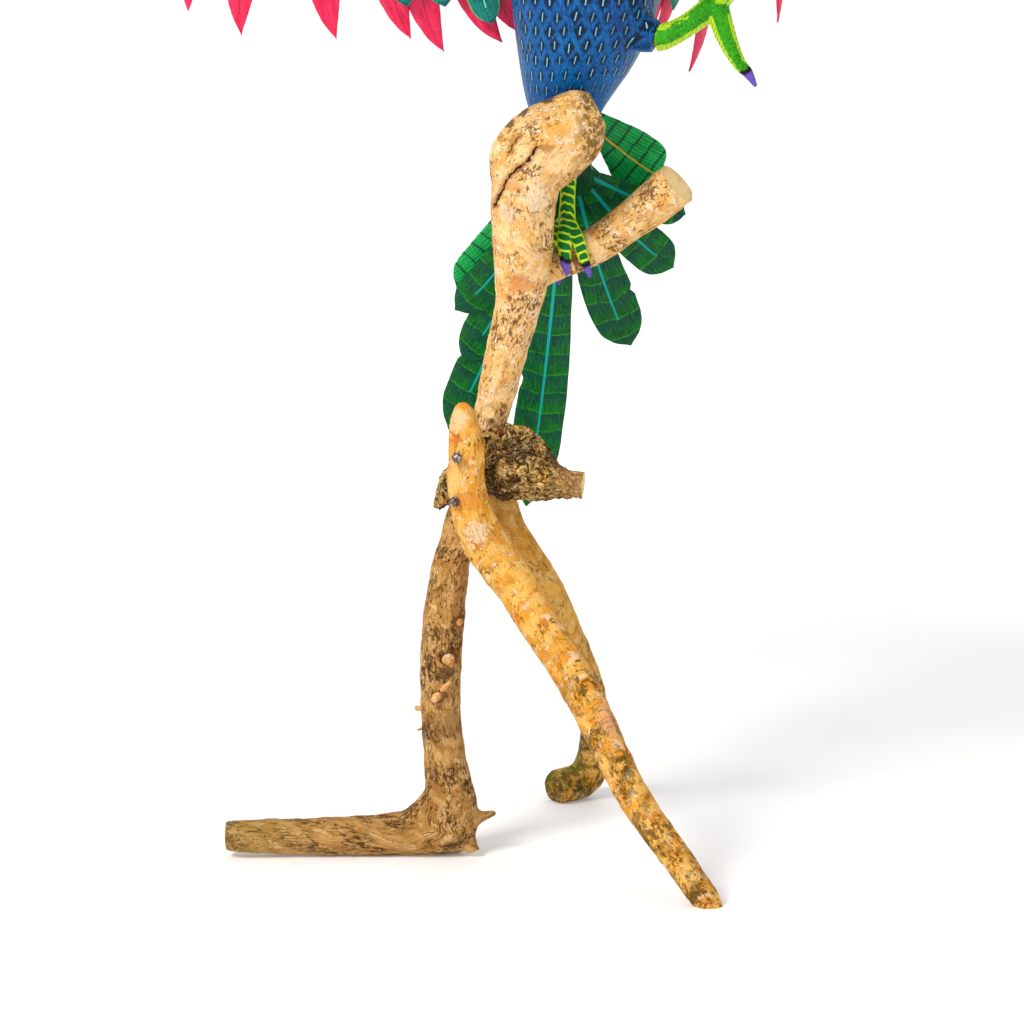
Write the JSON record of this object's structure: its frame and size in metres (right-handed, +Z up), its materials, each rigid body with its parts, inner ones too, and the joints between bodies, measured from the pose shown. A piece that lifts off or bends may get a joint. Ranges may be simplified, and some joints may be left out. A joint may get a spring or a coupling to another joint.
{
  "type": "carved bird figure on a branch stand",
  "caption": "Painted carved wooden bird with spread feathered wings, perched on a stand made of nailed natural branches.",
  "frame": {"origin": "centre of the whole object's outline on the floor", "axes": "+Z up; the bird's chest looks towards -Y and a little towards +X; its right wing reaches towards -X"},
  "size_m": [0.4788, 0.4108, 0.7091],
  "materials": {
    "peeled_wood": "smooth peeled branch, dull",
    "rough_bark": "rough dark bark",
    "smooth_branch": "thin mottled bark, dull",
    "grey_branch": "weathered branch, dull",
    "bare_wood": "bare wood",
    "blue_paint": "satin acrylic paint on wood",
    "crimson_paint": "satin acrylic paint on wood",
    "teal_paint": "satin acrylic paint on wood",
    "lime_paint": "satin acrylic paint on wood",
    "leaf_paint": "satin acrylic paint on wood",
    "tail_paint": "satin acrylic paint on wood",
    "covert_paint": "satin acrylic paint on wood",
    "nail_steel": "dull dark steel"
  },
  "bodies": {
    "stand_and_bird": {"trunk": "peeled_wood", "hub_burl": "rough_bark", "front_leg": "smooth_branch", "side_leg": "grey_branch", "back_leg": "smooth_branch", "front_leg_nails": "nail_steel", "side_leg_nail": "nail_steel", "back_leg_nails": "nail_steel", "belly_dowel": "bare_wood", "foot_pin": "nail_steel", "torso": "blue_paint", "crest_plumes": "crimson_paint", "perched_leg": "lime_paint", "raised_leg": "leaf_paint", "rump_feather": "covert_paint"},
    "right_wing": {"right_wing_arm": "blue_paint", "right_wing_backing": "blue_paint", "right_wing_coverts": "teal_paint", "right_wing_feather_1": "crimson_paint", "right_wing_feather_2": "crimson_paint", "right_wing_feather_3": "crimson_paint", "right_wing_feather_4": "crimson_paint", "right_wing_feather_5": "crimson_paint", "right_wing_feather_6": "crimson_paint", "right_wing_feather_7": "crimson_paint", "right_wing_feather_8": "crimson_paint", "right_wing_feather_9": "crimson_paint", "right_wing_feather_10": "crimson_paint", "right_wing_feather_11": "crimson_paint", "right_wing_feather_12": "crimson_paint", "right_wing_feather_13": "crimson_paint"},
    "left_wing": {"left_wing_arm": "blue_paint", "left_wing_backing": "blue_paint", "left_wing_coverts": "teal_paint", "left_wing_feather_1": "crimson_paint", "left_wing_feather_2": "crimson_paint", "left_wing_feather_3": "crimson_paint", "left_wing_feather_4": "crimson_paint", "left_wing_feather_5": "crimson_paint", "left_wing_feather_6": "crimson_paint", "left_wing_feather_7": "crimson_paint", "left_wing_feather_8": "crimson_paint", "left_wing_feather_9": "crimson_paint", "left_wing_feather_10": "crimson_paint", "left_wing_feather_11": "crimson_paint", "left_wing_feather_12": "crimson_paint", "left_wing_feather_13": "crimson_paint"},
    "tail": {"tail_block": "leaf_paint", "tail_feather_1": "tail_paint", "tail_feather_2": "tail_paint", "tail_feather_3": "tail_paint", "tail_feather_4": "tail_paint", "tail_feather_5": "tail_paint", "tail_feather_6": "tail_paint", "tail_feather_7": "tail_paint", "tail_covert_1": "covert_paint", "tail_covert_2": "covert_paint", "tail_covert_3": "covert_paint", "tail_covert_4": "covert_paint"}
  },
  "joints": [
    {"name": "right_wing_pull", "type": "slide", "parent": "stand_and_bird", "child": "right_wing", "axis": [-1, 0, 0], "range_m": [0, 0.03]},
    {"name": "left_wing_pull", "type": "slide", "parent": "stand_and_bird", "child": "left_wing", "axis": [0.5571, 0.8259, -0.0872], "range_m": [0, 0.03]},
    {"name": "tail_pull", "type": "slide", "parent": "stand_and_bird", "child": "tail", "axis": [0, 0.196, -0.9806], "range_m": [0, 0.024]}
  ]
}
